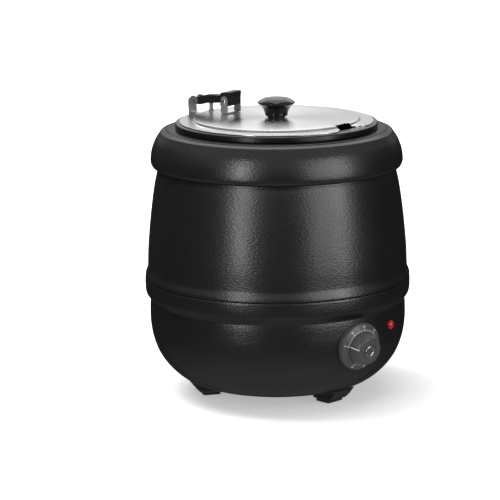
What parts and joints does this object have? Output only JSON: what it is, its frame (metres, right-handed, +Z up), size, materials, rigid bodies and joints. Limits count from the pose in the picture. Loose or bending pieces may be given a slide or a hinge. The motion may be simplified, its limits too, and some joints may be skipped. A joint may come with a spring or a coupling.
{
  "type": "soup kettle",
  "caption": "Round wet-heat soup kettle: black grained shell with belt and collar, stainless pot and notched hinged lid, black knob, thermostat dial, pilot lamp and low feet",
  "frame": {"origin": "on the floor under the middle of the kettle, at the bottom of the foot pads", "axes": "+Z up; the dial faces -Y; the cable gland is on +Y; the pilot lamp is from the dial toward +X"},
  "size_m": [0.34, 0.3757, 0.3826],
  "materials": {
    "powder_black": "grained black powder coat, semi-matt",
    "gloss_black": "polished black phenolic moulding",
    "stainless": "brushed stainless steel",
    "aluminium": "plain drawn aluminium",
    "bright_steel": "polished plated steel",
    "zinc_steel": "zinc plated steel",
    "dial_grey": "satin grey moulding",
    "red_lens": "clear red moulding",
    "rubber_black": "matt black rubber",
    "matt_black": "satin black moulding",
    "element_steel": "heat-darkened steel tube",
    "white_plastic": "off-white moulding",
    "wire_sleeve": "heat-resistant wire sleeve",
    "copper": "plain copper"
  },
  "bodies": {
    "kettle": {"collar_ring": "powder_black", "barrel_shell": "powder_black", "base_bowl": "powder_black", "base_plate": "zinc_steel", "foot_front": "powder_black", "foot_right": "powder_black", "foot_left": "powder_black", "foot_pad_front": "rubber_black", "foot_pad_right": "rubber_black", "foot_pad_left": "rubber_black", "foot_screw_front": "zinc_steel", "foot_screw_right": "zinc_steel", "foot_screw_left": "zinc_steel", "water_well": "aluminium", "heating_element": "element_steel", "clamp_plate": "zinc_steel", "clamp_stud": "zinc_steel", "clamp_nut": "zinc_steel", "thermostat": "matt_black", "thermostat_screw_left": "zinc_steel", "thermostat_screw_right": "zinc_steel", "thermostat_bulb": "copper", "capillary_tube": "copper", "thermal_cutout": "matt_black", "dial_bezel": "dial_grey", "lamp_lens": "red_lens", "lamp_body": "matt_black", "lamp_nut": "zinc_steel", "cable_gland": "matt_black", "gland_dome_nut": "matt_black", "gland_lock_nut": "matt_black", "terminal_block": "white_plastic", "wire_supply": "wire_sleeve", "wire_element_in": "wire_sleeve", "wire_element_out": "wire_sleeve", "wire_thermostat": "wire_sleeve", "wire_lamp": "wire_sleeve"},
    "dial": {"dial_knob": "dial_grey", "dial_cap": "bright_steel", "thermostat_shaft": "bright_steel"},
    "pot": {"soup_pot": "stainless", "pot_rim_ring": "gloss_black", "rim_hook": "stainless", "hinge_pin": "bright_steel"},
    "lid_group": {"lid": "stainless", "lid_knob": "gloss_black", "knob_washer": "matt_black", "knob_screw": "zinc_steel", "lid_bracket": "stainless", "bracket_rivet": "bright_steel", "hinge_arm": "matt_black", "arm_post": "zinc_steel"}
  },
  "joints": [
    {"name": "dial_turn", "type": "hinge", "parent": "kettle", "child": "dial", "pos_m": [0, -0.1631, 0.088], "axis": [0, 0.9925, 0.1219], "range_deg": [0, 285]},
    {"name": "pot_lift", "type": "slide", "parent": "kettle", "child": "pot", "axis": [0, 0, 1], "range_m": [0, 0.3]},
    {"name": "lid_open", "type": "hinge", "parent": "pot", "child": "lid_group", "pos_m": [-0.03916, 0.11502, 0.367], "axis": [-0.9466, -0.3223, 0], "range_deg": [0, 95]}
  ]
}
